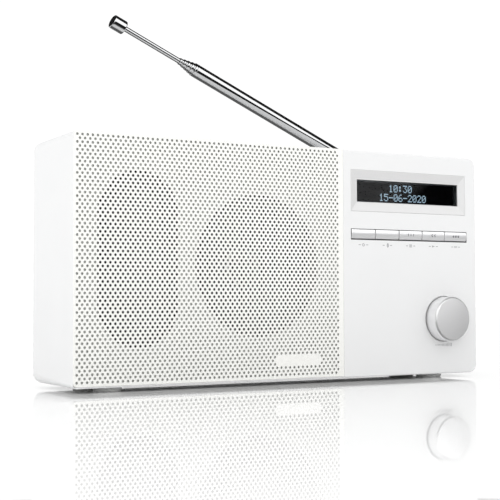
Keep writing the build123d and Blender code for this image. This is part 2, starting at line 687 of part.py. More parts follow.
# ---------------------------------------------------------------- knob and rotary encoder
ROTOR_R = 4.3
ROTOR_FRONT = ENCODER_FRONT + 1.4
ROTOR_BACK = BOARD_FRONT - 0.5
SHAFT_BACK = ROTOR_BACK - 0.5
SHAFT_FRONT = FRONT - KNOB_PROUD + 2.2
KNOB_BACK = FRONT + 0.2
KNOB_FRONT = FRONT - KNOB_PROUD
KNOB_FACE_T = 1.5

with BuildPart() as encoder_body:
    block(KNOB, ENCODER_W, ENCODER_W, ENCODER_FRONT, BOARD_FRONT)
    disc(KNOB, BUSHING_R, BUSHING_FRONT, ENCODER_FRONT)
    disc(KNOB, SHAFT_R + SHAFT_GAP, BUSHING_FRONT, BOARD_FRONT, Mode.SUBTRACT)
    disc(KNOB, ROTOR_R + SLIDE_GAP, ROTOR_FRONT - SLIDE_GAP, BOARD_FRONT, Mode.SUBTRACT)
save(encoder_body, "encoder_body")

with BuildPart() as encoder_rotor:
    ring(KNOB, ROTOR_R, SHAFT_R + SHAFT_GAP, ROTOR_FRONT, ROTOR_BACK)
save(encoder_rotor, "encoder_rotor")

with BuildPart() as encoder_nut:
    with BuildSketch(at_depth(RECESS_FLOOR)):
        with Locations(KNOB):
            RegularPolygon(NUT_R, 6)
            Circle(BUSHING_R, mode=Mode.SUBTRACT)
    extrude(amount=NUT_T)
save(encoder_nut, "encoder_nut")

with BuildPart() as encoder_shaft:
    disc(KNOB, SHAFT_R, SHAFT_FRONT, SHAFT_BACK)
save(encoder_shaft, "encoder_shaft")

with BuildPart() as knob_core:
    core_front = KNOB_FRONT + KNOB_FACE_T
    disc(KNOB, KNOB_D / 2 - KNOB_SHELL, core_front, KNOB_BACK)
    disc(KNOB, SHAFT_R, SHAFT_FRONT, KNOB_BACK, Mode.SUBTRACT)
    disc(KNOB, NUT_R + 1.5, BUSHING_FRONT - KNOB_TRAVEL - 0.4, KNOB_BACK, Mode.SUBTRACT)
save(knob_core, "knob_core")

with BuildPart() as knob_cap:
    disc(KNOB, KNOB_D / 2, KNOB_FRONT, KNOB_BACK)
    chamfer(knob_cap.faces().sort_by(Axis.Y)[0].edges(), KNOB_CHAMFER)
    disc(KNOB, KNOB_D / 2 - KNOB_SHELL, core_front, KNOB_BACK, Mode.SUBTRACT)
save(knob_cap, "knob_cap")

# ---------------------------------------------------------------- main board at the back
with BuildPart() as main_board:
    block(MAIN_BOARD, MAIN_BOARD_W, MAIN_BOARD_H, MAIN_BOARD_FRONT, MAIN_BOARD_BACK)
    with BuildSketch(at_depth(MAIN_BOARD_FRONT)):
        with Locations(MAIN_BOARD):
            with GridLocations(*MAIN_BOARD_SCREWS, 2, 2):
                Circle(CLEARANCE_HOLE_R)
    extrude(amount=-BOARD_T, mode=Mode.SUBTRACT)
save(main_board, "main_board")

# The same screw holds both boards: heads behind the control board, in front of the main one
with BuildPart() as board_screws:
    for centre, grid, head, seat, end in (
            (CONTROL_SCREWS, CONTROL_SCREW_GRID, BOARD_BACK + SCREW_HEAD_T, BOARD_BACK,
             BOARD_FRONT - BOARD_SCREW_BITE),
            (MAIN_BOARD, MAIN_BOARD_SCREWS, MAIN_BOARD_FRONT - SCREW_HEAD_T, MAIN_BOARD_FRONT,
             MAIN_BOARD_BACK + BOARD_SCREW_BITE)):
        for radius, start, stop in ((SCREW_HEAD_R, head, seat), (PILOT_R, seat, end)):
            with BuildSketch(at_depth(start)):
                with Locations(centre):
                    with GridLocations(*grid, 2, 2):
                        Circle(radius)
            extrude(amount=start - stop)
save(board_screws, "board_screws")

TUNER = (MAIN_BOARD[0] - 12, MAIN_BOARD[1] + 14)
TUNER_BOARD = (34.0, 24.0, 1.2)
TUNER_CHIP = (10.0, 10.0, 1.0)
TUNER_CAN = (37.0, 27.0, 4.5)
TUNER_CAN_T = 0.5
CAPACITOR_R = 4.0
CAPACITOR_H = 12.0
CAPACITOR_PITCH = 11.0
CAPACITOR_COUNT = 3
JACK_GAP = 0.3
JACK_FRONT = COVER_FRONT - JACK_GAP
DC_WELL_R = 3.1
DC_WELL_DEPTH = 10.0
DC_PIN_R = 1.0
RIBBON = (MAIN_BOARD[0] - 23.1, MAIN_BOARD[1] + 28.5)
RIBBON_W = 18.0
RIBBON_T = 0.6

with BuildPart() as tuner_module:
    board_front = MAIN_BOARD_FRONT - TUNER_BOARD[2]
    block(TUNER, TUNER_BOARD[0], TUNER_BOARD[1], board_front, MAIN_BOARD_FRONT)
    block(TUNER, TUNER_CHIP[0], TUNER_CHIP[1], board_front - TUNER_CHIP[2], board_front)
save(tuner_module, "tuner_module")

with BuildPart() as tuner_shield:
    can_front = MAIN_BOARD_FRONT - TUNER_CAN[2]
    block(TUNER, TUNER_CAN[0], TUNER_CAN[1], can_front, MAIN_BOARD_FRONT)
    block(TUNER, TUNER_CAN[0] - 2 * TUNER_CAN_T, TUNER_CAN[1] - 2 * TUNER_CAN_T,
          can_front + TUNER_CAN_T, MAIN_BOARD_FRONT, Mode.SUBTRACT)
save(tuner_shield, "tuner_shield")

with BuildPart() as capacitors:
    for step in range(CAPACITOR_COUNT):
        disc((MAIN_BOARD[0] + 4 + CAPACITOR_PITCH * step, MAIN_BOARD[1] - 16), CAPACITOR_R,
             MAIN_BOARD_FRONT - CAPACITOR_H, MAIN_BOARD_FRONT)
save(capacitors, "capacitors")

with BuildPart() as dc_inlet:
    block(DC_INLET, 10, 12, MAIN_BOARD_BACK, JACK_FRONT)
    disc(DC_INLET, DC_NOSE_R, JACK_FRONT, COVER_BACK)
    disc(DC_INLET, DC_WELL_R, COVER_BACK - DC_WELL_DEPTH, COVER_BACK, Mode.SUBTRACT)
    disc(DC_INLET, DC_PIN_R, COVER_BACK - DC_WELL_DEPTH, COVER_BACK - 1)
save(dc_inlet, "dc_inlet")

for name, centre in (("headphone_jack", HEADPHONE), ("aux_jack", AUX)):
    with BuildPart() as jack:
        block(centre, 8, 10, MAIN_BOARD_BACK, JACK_FRONT)
        disc(centre, PHONE_NOSE_R, JACK_FRONT, COVER_BACK)
        disc(centre, PHONE_BORE_R, COVER_BACK - PHONE_BORE_LENGTH, COVER_BACK, Mode.SUBTRACT)
    save(jack, name)

with BuildPart() as ribbon_cable:
    block(RIBBON, RIBBON_W, RIBBON_T, BOARD_BACK, MAIN_BOARD_FRONT)
save(ribbon_cable, "ribbon_cable")

# ---------------------------------------------------------------- antenna
with BuildPart() as antenna_bush:
    ring(SWIVEL, BUSH_FLANGE_R, STUD_R + SHAFT_GAP, COVER_BACK, COVER_BACK + BUSH_FLANGE_T)
    ring(SWIVEL, BUSH_R, STUD_R + SHAFT_GAP, COVER_FRONT - BUSH_INSIDE, COVER_BACK)
save(antenna_bush, "antenna_bush")

STUD_FRONT = COVER_FRONT - BUSH_INSIDE - 0.3

with BuildPart() as antenna_swivel:
    disc(SWIVEL, STUD_R, STUD_FRONT, SWIVEL_FRONT)
    disc(SWIVEL, SWIVEL_R, SWIVEL_FRONT, SWIVEL_BACK)
    # Two ears that hold the tilt pin
    for side in (-1, 1):
        ear_start = LUG_T / 2 + LUG_GAP
        with BuildSketch(Plane(origin=PIVOT + PIN_DIR * (side * ear_start),
                               x_dir=MAST_DIR, z_dir=PIN_DIR * side)):
            Circle(LUG_R)
            reach = MAST_Y - SWIVEL_BACK
            with Locations((0, side * reach / 2)):
                Rectangle(2 * LUG_R, reach)
            Circle(PIN_R, mode=Mode.SUBTRACT)
        extrude(amount=EAR_T)
    disc(SWIVEL, PILOT_R, STUD_FRONT, STUD_FRONT + RETAINER_BITE, Mode.SUBTRACT)
save(antenna_swivel, "antenna_swivel")

with BuildPart() as antenna_screw:
    disc(SWIVEL, RETAINER_R, STUD_FRONT - RETAINER_T, STUD_FRONT)
    disc(SWIVEL, SCREW_HEAD_R, STUD_FRONT - RETAINER_T - SCREW_HEAD_T, STUD_FRONT - RETAINER_T)
    disc(SWIVEL, PILOT_R, STUD_FRONT, STUD_FRONT + RETAINER_BITE)
save(antenna_screw, "antenna_screw")

with BuildPart() as tilt_pin:
    pin_half = LUG_T / 2 + LUG_GAP + EAR_T
    with BuildSketch(Plane(origin=PIVOT - PIN_DIR * pin_half, x_dir=MAST_DIR, z_dir=PIN_DIR)):
        Circle(PIN_R)
    extrude(amount=2 * pin_half)
save(tilt_pin, "tilt_pin")

mast_bores = [MAST_D - MAST_STEP * n + 2 * MAST_CLEARANCE for n in range(1, MAST_SECTIONS + 1)]

with BuildPart() as antenna_lug:
    with BuildSketch(Plane(origin=PIVOT, x_dir=MAST_DIR, z_dir=PIN_DIR)):
        Circle(LUG_R)
        with Locations((MAST_START / 2, 0)):
            Rectangle(MAST_START, 2 * LUG_R)
        Circle(PIN_R + SHAFT_GAP, mode=Mode.SUBTRACT)
    extrude(amount=LUG_T / 2, both=True)
    with BuildSketch(mast_plane(MAST_START)):
        Circle(mast_bores[0] / 2)
    extrude(amount=PLUG_LENGTH)
save(antenna_lug, "antenna_lug")

for n in range(MAST_SECTIONS):
    outer_end = MAST_END + MAST_RINGS * n
    inner_end = MAST_START if n == 0 else outer_end - SECTION_LENGTH
    with BuildPart() as section:
        with BuildSketch(mast_plane(inner_end)):
            Circle((MAST_D - MAST_STEP * n) / 2)
            Circle(mast_bores[n] / 2, mode=Mode.SUBTRACT)
        extrude(amount=outer_end - inner_end)
    save(section, f"antenna_section_{n + 1}")

ROD_END = MAST_END + MAST_RINGS * (MAST_SECTIONS - 1) + ROD_SHOWN

with BuildPart() as antenna_rod:
    with BuildSketch(mast_plane(ROD_END - SECTION_LENGTH)):
        Circle((MAST_D - MAST_STEP * MAST_SECTIONS) / 2)
    extrude(amount=SECTION_LENGTH)
save(antenna_rod, "antenna_rod")

with BuildPart() as antenna_tip:
    with BuildSketch(mast_plane(ROD_END)):
        Circle(MAST_D / 2)
    extrude(amount=TIP_LENGTH)
    fillet(antenna_tip.edges().filter_by(GeomType.CIRCLE), TIP_EDGE_R)
save(antenna_tip, "antenna_tip")
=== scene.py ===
import json
import math

import bmesh
import bpy
import numpy as np
from mathutils import Matrix, Vector


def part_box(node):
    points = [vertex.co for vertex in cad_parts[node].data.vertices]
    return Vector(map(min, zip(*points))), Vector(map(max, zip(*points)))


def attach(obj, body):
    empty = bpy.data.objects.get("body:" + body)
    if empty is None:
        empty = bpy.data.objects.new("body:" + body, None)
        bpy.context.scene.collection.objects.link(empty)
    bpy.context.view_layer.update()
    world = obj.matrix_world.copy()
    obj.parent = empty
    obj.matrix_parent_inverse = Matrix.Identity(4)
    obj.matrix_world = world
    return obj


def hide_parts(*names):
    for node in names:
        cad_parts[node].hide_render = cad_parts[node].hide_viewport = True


# Looks of a tabletop radio, built round its CAD frame. Lengths are millimetres until
# new_piece turns them into metres. +X is right, the front faces -Y, +Z is up.

bpy.ops.wm.read_factory_settings(use_empty=True)
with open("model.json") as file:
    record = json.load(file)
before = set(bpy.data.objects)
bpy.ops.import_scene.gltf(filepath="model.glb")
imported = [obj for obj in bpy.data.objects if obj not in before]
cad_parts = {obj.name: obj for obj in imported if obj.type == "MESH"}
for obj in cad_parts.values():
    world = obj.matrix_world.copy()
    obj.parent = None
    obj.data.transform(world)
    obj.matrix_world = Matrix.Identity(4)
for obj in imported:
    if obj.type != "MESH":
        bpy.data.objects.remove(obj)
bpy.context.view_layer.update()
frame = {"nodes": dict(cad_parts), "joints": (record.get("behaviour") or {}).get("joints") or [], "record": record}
MM = 0.001


# ---------------------------------------------------------------- places read from the frame
def corners(node):
    """Lowest and highest corner of a CAD node, in millimetres."""
    low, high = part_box(node)
    return np.array(low) / MM, np.array(high) / MM


def centre(node):
    """Middle of a CAD node's box, in millimetres."""
    low, high = corners(node)
    return (low + high) / 2


def joint(name):
    """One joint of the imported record."""
    return next(j for j in frame["joints"] if j["name"] == name)


BODY = "radio_body"
MAST_DIR = np.array(joint("rod_slide")["axis"])
PIVOT = np.array(joint("antenna_tilt")["pos_m"]) / MM
KNOB_AXIS = np.array([0.0, 1.0, 0.0])


def along_mast(node):
    """Where a CAD node of the antenna starts and ends, measured along the mast from its pin."""
    mesh = frame["nodes"][node].data
    points = np.zeros(len(mesh.vertices) * 3)
    mesh.vertices.foreach_get("co", points)
    reach = (points.reshape(-1, 3) / MM - PIVOT) @ MAST_DIR
    return reach.min(), reach.max()


# ---------------------------------------------------------------- materials
def finish_of(name, colour, roughness, metallic=0.0, **sockets):
    """A Principled material; the constants go straight on the shader's own sockets."""
    material = bpy.data.materials.new(name)
    material.use_nodes = True
    shader = material.node_tree.nodes["Principled BSDF"]
    shader.inputs["Base Color"].default_value = (*colour, 1)
    shader.inputs["Roughness"].default_value = roughness
    shader.inputs["Metallic"].default_value = metallic
    for socket, value in sockets.items():
        shader.inputs[socket.replace("_", " ")].default_value = value
    return material


def node_of(material, kind, **values):
    """Add a node to a material and set its properties."""
    node = material.node_tree.nodes.new(kind)
    for key, value in values.items():
        setattr(node, key, value)
    return node


def noise(material, size, detail=3.0):
    """Noise in object space whose lumps are size millimetres across."""
    place = node_of(material, "ShaderNodeTexCoord")
    texture = node_of(material, "ShaderNodeTexNoise")
    texture.inputs["Scale"].default_value = 1 / (size * MM)
    texture.inputs["Detail"].default_value = detail
    material.node_tree.links.new(place.outputs["Object"], texture.inputs["Vector"])
    return texture.outputs["Fac"]


def spread(material, value, low, high):
    """Map a 0-to-1 value onto low-to-high."""
    ramp = node_of(material, "ShaderNodeMapRange")
    ramp.inputs["To Min"].default_value = low
    ramp.inputs["To Max"].default_value = high
    material.node_tree.links.new(value, ramp.inputs["Value"])
    return ramp.outputs["Result"]


def vary_roughness(material, size, low, high):
    """Let the gloss drift between two roughness values over the surface."""
    shader = material.node_tree.nodes["Principled BSDF"]
    drift = spread(material, noise(material, size), low, high)
    material.node_tree.links.new(drift, shader.inputs["Roughness"])


def vary_colour(material, size, first, second):
    """Let the colour drift between two close tones."""
    links = material.node_tree.links
    shader = material.node_tree.nodes["Principled BSDF"]
    mix = node_of(material, "ShaderNodeMix", data_type="RGBA")
    mix.inputs["A"].default_value = (*first, 1)
    mix.inputs["B"].default_value = (*second, 1)
    links.new(noise(material, size), mix.inputs["Factor"])
    links.new(mix.outputs["Result"], shader.inputs["Base Color"])


def emboss(material, height, depth):
    """Raise the surface by a height value, depth millimetres from its lowest to its highest."""
    links = material.node_tree.links
    bump = node_of(material, "ShaderNodeBump")
    bump.inputs["Distance"].default_value = depth * MM
    links.new(height, bump.inputs["Height"])
    links.new(bump.outputs["Normal"], material.node_tree.nodes["Principled BSDF"].inputs["Normal"])


# Sizes in millimetres over which tone and gloss drift, and how far they do
TONE_DRIFT_SIZE, TONE_DRIFT = 35, 0.975
GLOSS_DRIFT_SIZE, GLOSS_DRIFT = 9, (0.9, 1.12)
GRAIN_DETAIL = 2.0


def moulded(name, colour, roughness, grain, depth, second=None, metallic=0.0, **sockets):
    """Injection-moulded plastic: fine spark-eroded grain, gloss that drifts a little."""
    material = finish_of(name, colour, roughness, metallic, **sockets)
    vary_colour(material, TONE_DRIFT_SIZE, colour, second or tuple(c * TONE_DRIFT for c in colour))
    vary_roughness(material, GLOSS_DRIFT_SIZE, *(roughness * share for share in GLOSS_DRIFT))
    emboss(material, noise(material, grain, GRAIN_DETAIL), depth)
    return material


def shell_plastic(name):
    """The white plastic of the cabinet and the rear cover."""
    return moulded(name, (0.785, 0.788, 0.79), 0.46, 0.28, 0.012, IOR=1.32)


WEAR_SIZE = 6
POLISH_SIZE, POLISH_DEPTH = 0.6, 0.0015


def plated(name, colour, roughness, wear=0.03):
    """Polished or brushed metal: gloss varies with faint handling marks."""
    material = finish_of(name, colour, roughness, metallic=1.0)
    vary_roughness(material, WEAR_SIZE, roughness, roughness + wear)
    emboss(material, noise(material, POLISH_SIZE, GRAIN_DETAIL), POLISH_DEPTH)
    return material


TOOL_MARK, TOOL_MARK_DEPTH = 0.12, 0.004
TOOL_MARK_GLOSS = (0.8, 1.25)


def spun(name, colour, roughness, node):
    """Lathe-turned metal: rings of tool marks round a node's front-to-back axis, which are
    noise over the distance from that axis, sqrt(x^2 + z^2)."""
    material = finish_of(name, colour, roughness, metallic=1.0)
    links = material.node_tree.links
    place = node_of(material, "ShaderNodeTexCoord")
    mapping = node_of(material, "ShaderNodeMapping")
    mapping.inputs["Location"].default_value = [-v * MM for v in centre(node)]
    ring = node_of(material, "ShaderNodeVectorMath", operation="LENGTH")
    flat = node_of(material, "ShaderNodeVectorMath", operation="MULTIPLY")
    flat.inputs[1].default_value = (1, 0, 1)
    marks = node_of(material, "ShaderNodeTexNoise", noise_dimensions="1D")
    marks.inputs["Scale"].default_value = 1 / (TOOL_MARK * MM)
    marks.inputs["Detail"].default_value = 3
    links.new(place.outputs["Object"], mapping.inputs["Vector"])
    links.new(mapping.outputs["Vector"], flat.inputs[0])
    links.new(flat.outputs["Vector"], ring.inputs[0])
    links.new(ring.outputs["Value"], marks.inputs["W"])
    shader = material.node_tree.nodes["Principled BSDF"]
    gloss = spread(material, marks.outputs["Fac"],
                   *(roughness * share for share in TOOL_MARK_GLOSS))
    links.new(gloss, shader.inputs["Roughness"])
    emboss(material, marks.outputs["Fac"], TOOL_MARK_DEPTH)
    return material


paint = {
    "white_shell": shell_plastic("white_shell"),
    "white_gloss": moulded("white_gloss", (0.67, 0.67, 0.67), 0.22, 0.8, 0.004, IOR=1.5),
    "button_gloss": moulded("button_gloss", (0.86, 0.86, 0.87), 0.24, 1.2, 0.002, metallic=0.42),
    "grille_paint": moulded("grille_paint", (0.87, 0.87, 0.84), 0.42, 0.35, 0.010),
    "rubber": moulded("rubber", (0.82, 0.82, 0.81), 0.7, 0.5, 0.03),
    "black_plastic": moulded("black_plastic", (0.018, 0.018, 0.019), 0.45, 0.3, 0.015),
    "black_rubber": moulded("black_rubber", (0.012, 0.012, 0.012), 0.6, 0.4, 0.01),
    "foam": moulded("foam", (0.03, 0.03, 0.03), 0.95, 0.4, 0.08),
    "cone_paper": moulded("cone_paper", (0.012, 0.012, 0.013), 0.7, 0.5, 0.05),
    "spider_cloth": moulded("spider_cloth", (0.42, 0.26, 0.10), 0.8, 0.4, 0.06),
    "diffuser": moulded("diffuser", (0.75, 0.78, 0.80), 0.4, 0.6, 0.005),
    "board": moulded("board", (0.01, 0.10, 0.035), 0.3, 1.5, 0.02, second=(0.008, 0.075, 0.03)),
    "ribbon": moulded("ribbon", (0.65, 0.63, 0.58), 0.4, 0.8, 0.02),
    "ferrite": moulded("ferrite", (0.04, 0.04, 0.042), 0.5, 0.4, 0.03),
    "black_steel": moulded("black_steel", (0.015, 0.015, 0.015), 0.35, 0.5, 0.01),
    "chrome": plated("chrome", (0.55, 0.555, 0.56), 0.03, 0.02),
    "aluminium": plated("aluminium", (0.75, 0.75, 0.76), 0.3),
    "tinned_steel": plated("tinned_steel", (0.62, 0.63, 0.63), 0.28, 0.12),
    "zinc_steel": plated("zinc_steel", (0.58, 0.58, 0.56), 0.32, 0.1),
    "screw_steel": plated("screw_steel", (0.45, 0.45, 0.45), 0.3, 0.1),
    "satin_metal": spun("satin_metal", (0.95, 0.95, 0.955), 0.46, "knob_cap"),
    "lens_tint": finish_of("lens_tint", (0.55, 0.57, 0.59), 0.0, IOR=1.21,
                           Transmission_Weight=1.0),
    "lcd_glass": moulded("lcd_glass", (0.001, 0.001, 0.002), 0.5, 2.0, 0.002,
                         Specular_IOR_Level=0.05),
}


# Painted shade: the grey put on the cabinet's front face behind the grille, for the shade behind the sheet's holes
BAFFLE_PAINTED_SHADE = (0.53, 0.54, 0.52)
BAFFLE_REACH = 0.05
FACING_FRONT = -0.9


def paint_shade_behind_grille():
    """The cabinet's own plastic with painted shade: grey on the faces that the grille lies against,
    those that face forward at the depth of the sheet's back, in place of the shade that falls
    there behind the holes."""
    material = shell_plastic("white_shell_painted_shade")
    nodes, links = material.node_tree.nodes, material.node_tree.links
    sheet_back = corners("speaker_grille")[1][1] * MM
    place = node_of(material, "ShaderNodeTexCoord")
    position = node_of(material, "ShaderNodeSeparateXYZ")
    normal = node_of(material, "ShaderNodeSeparateXYZ")
    links.new(place.outputs["Object"], position.inputs["Vector"])
    links.new(place.outputs["Normal"], normal.inputs["Vector"])
    depth = node_of(material, "ShaderNodeMath", operation="COMPARE")
    depth.inputs[1].default_value = sheet_back
    depth.inputs[2].default_value = BAFFLE_REACH * MM
    links.new(position.outputs["Y"], depth.inputs[0])
    forward = node_of(material, "ShaderNodeMath", operation="LESS_THAN")
    forward.inputs[1].default_value = FACING_FRONT
    links.new(normal.outputs["Y"], forward.inputs[0])
    painted_shade_mask = node_of(material, "ShaderNodeMath", operation="MULTIPLY")
    links.new(depth.outputs["Value"], painted_shade_mask.inputs[0])
    links.new(forward.outputs["Value"], painted_shade_mask.inputs[1])
    mix = node_of(material, "ShaderNodeMix", data_type="RGBA")
    shader = nodes["Principled BSDF"]
    links.new(shader.inputs["Base Color"].links[0].from_socket, mix.inputs["A"])
    mix.inputs["B"].default_value = (*BAFFLE_PAINTED_SHADE, 1)
    links.new(painted_shade_mask.outputs["Value"], mix.inputs["Factor"])
    links.new(mix.outputs["Result"], shader.inputs["Base Color"])
    return material


slots = {part["node"]: part["material_slot"] for part in frame["record"]["subparts"]}
for name, node in frame["nodes"].items():
    node.data.materials.clear()
    node.data.materials.append(paint[slots[name]])
# The cabinet gets the plastic with the painted shade behind the grille
frame["nodes"]["cabinet"].data.materials[0] = paint_shade_behind_grille()


# ---------------------------------------------------------------- making pieces
def new_piece(name, points, faces, slot, body, stands_for=(), crease=30, material=None):
    """Put points (in millimetres) and faces into a mesh, merge seams and poles, point the
    faces outwards, crease edges sharper than an angle, and make the piece ride on a body."""
    mesh = bpy.data.meshes.new(name)
    mesh.from_pydata((np.asarray(points) * MM).tolist(), [], faces)
    form = bmesh.new()
    form.from_mesh(mesh)
    bmesh.ops.remove_doubles(form, verts=form.verts, dist=1e-7)
    bmesh.ops.recalc_face_normals(form, faces=form.faces)
    limit = math.radians(crease)
    for edge in form.edges:
        edge.smooth = len(edge.link_faces) == 2 and edge.calc_face_angle() < limit
    for face in form.faces:
        face.smooth = True
    form.to_mesh(mesh)
    form.free()
    mesh.materials.append(material or paint[slot])
    piece = bpy.data.objects.new(name, mesh)
    bpy.context.scene.collection.objects.link(piece)
    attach(piece, body)
    if stands_for:
        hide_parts(*stands_for)
    return piece


def grid_faces(rows, columns, wrap_rows=False, wrap_columns=False):
    """Quads between the points of a grid, given as rows of columns."""
    row = np.arange(rows if wrap_rows else rows - 1)
    column = np.arange(columns if wrap_columns else columns - 1)
    a, b = np.meshgrid(row, column, indexing="ij")
    a2, b2 = (a + 1) % rows, (b + 1) % columns
    quads = np.stack([a * columns + b, a * columns + b2, a2 * columns + b2, a2 * columns + b], -1)
    return quads.reshape(-1, 4).tolist()


SIDE_SHARE = 0.49


def rounded(profile, radius, closed=False, steps=4):
    """Round a profile's corners: near each corner the line follows the curve that leaves one
    side and joins the other, (1-t)^2 A + 2t(1-t) P + t^2 B, with A and B radius away from P,
    or SIDE_SHARE of the shorter side where that is less."""
    profile = np.asarray(profile, float)
    t = np.linspace(0, 1, steps + 1)[:, None]
    out = [] if closed else [profile[:1]]
    count = len(profile)
    for n in range(count) if closed else range(1, count - 1):
        before, here, after = profile[n - 1], profile[n], profile[(n + 1) % count]
        near = min(radius, *(np.linalg.norm(side - here) * SIDE_SHARE for side in (before, after)))
        start = here + (before - here) / np.linalg.norm(before - here) * near
        end = here + (after - here) / np.linalg.norm(after - here) * near
        out.append((1 - t) ** 2 * start + 2 * t * (1 - t) * here + t**2 * end)
    if not closed:
        out.append(profile[-1:])
    return np.concatenate(out)


def loop_points(loops):
    """One array of points from loops of (x, z) pairs, each with its depth or depths y."""
    return np.concatenate([np.stack([xz[:, 0], np.broadcast_to(y, len(xz)), xz[:, 1]], -1)
                           for xz, y in loops])


def across(axis):
    """Two directions square to an axis and to each other."""
    first = np.cross(axis, (0.0, 0.0, 1.0))
    first = first / np.linalg.norm(first)
    return first, np.cross(axis, first)


def turned(profile, origin, axis, sides=64):
    """Points of a profile of (distance, radius) pairs turned round an axis: origin plus axis
    times distance plus radius times (cos, sin) of the turn in the plane square to the axis."""
    profile = np.asarray(profile, float)
    first, second = across(axis)
    angle = np.linspace(0, 2 * np.pi, sides, endpoint=False)
    circle = np.cos(angle)[:, None] * first + np.sin(angle)[:, None] * second
    points = (np.asarray(origin) + profile[:, 0, None, None] * axis
              + profile[:, 1, None, None] * circle)
    return points.reshape(-1, 3)


def lathe(name, profile, origin, axis, slot, body, stands_for=(), closed=True, sides=64,
          crease=30):
    """A turned piece; a closed profile makes a tube, an open one ends on the axis."""
    faces = grid_faces(len(profile), sides, wrap_rows=closed, wrap_columns=True)
    points = turned(profile, origin, axis, sides)
    return new_piece(name, points, faces, slot, body, stands_for, crease)


# ---------------------------------------------------------------- perforated grille
HOLE_ROWS = 65
COLUMN_STEP = 1.4
ROW_STEP = 1.95
HOLE_R = 0.74
SHEET_T = 0.3
HOLE_SIDES = 10
HOLE_MARGIN_X = 1.6
HOLE_MARGIN_Z = 2.06
PLAIN_COLUMNS = (84, 104)
PLAIN_ROWS = (59, 61)
GRILLE_CORNER = 2.0
FOLD_WALL = 0.6


def ring_triangles(outer, inner):
    """Triangles that fill the band between two loops round one centre, each given by its
    points' angles in rising order: the loop whose next point comes first steps forward."""
    count_o, count_i = len(outer), len(inner)
    start = int(np.argmin(np.abs(inner - outer[0])))
    o = i = 0
    triangles = []
    while o < count_o or i < count_i:
        next_o = outer[(o + 1) % count_o] + 2 * np.pi * ((o + 1) // count_o)
        k = start + i + 1
        next_i = inner[k % count_i] + 2 * np.pi * (k // count_i)
        a, b = o % count_o, count_o + (start + i) % count_i
        if i >= count_i or (o < count_o and next_o <= next_i):
            triangles.append((a, (o + 1) % count_o, b))
            o += 1
        else:
            triangles.append((a, count_o + k % count_i, b))
            i += 1
    return np.array(triangles)


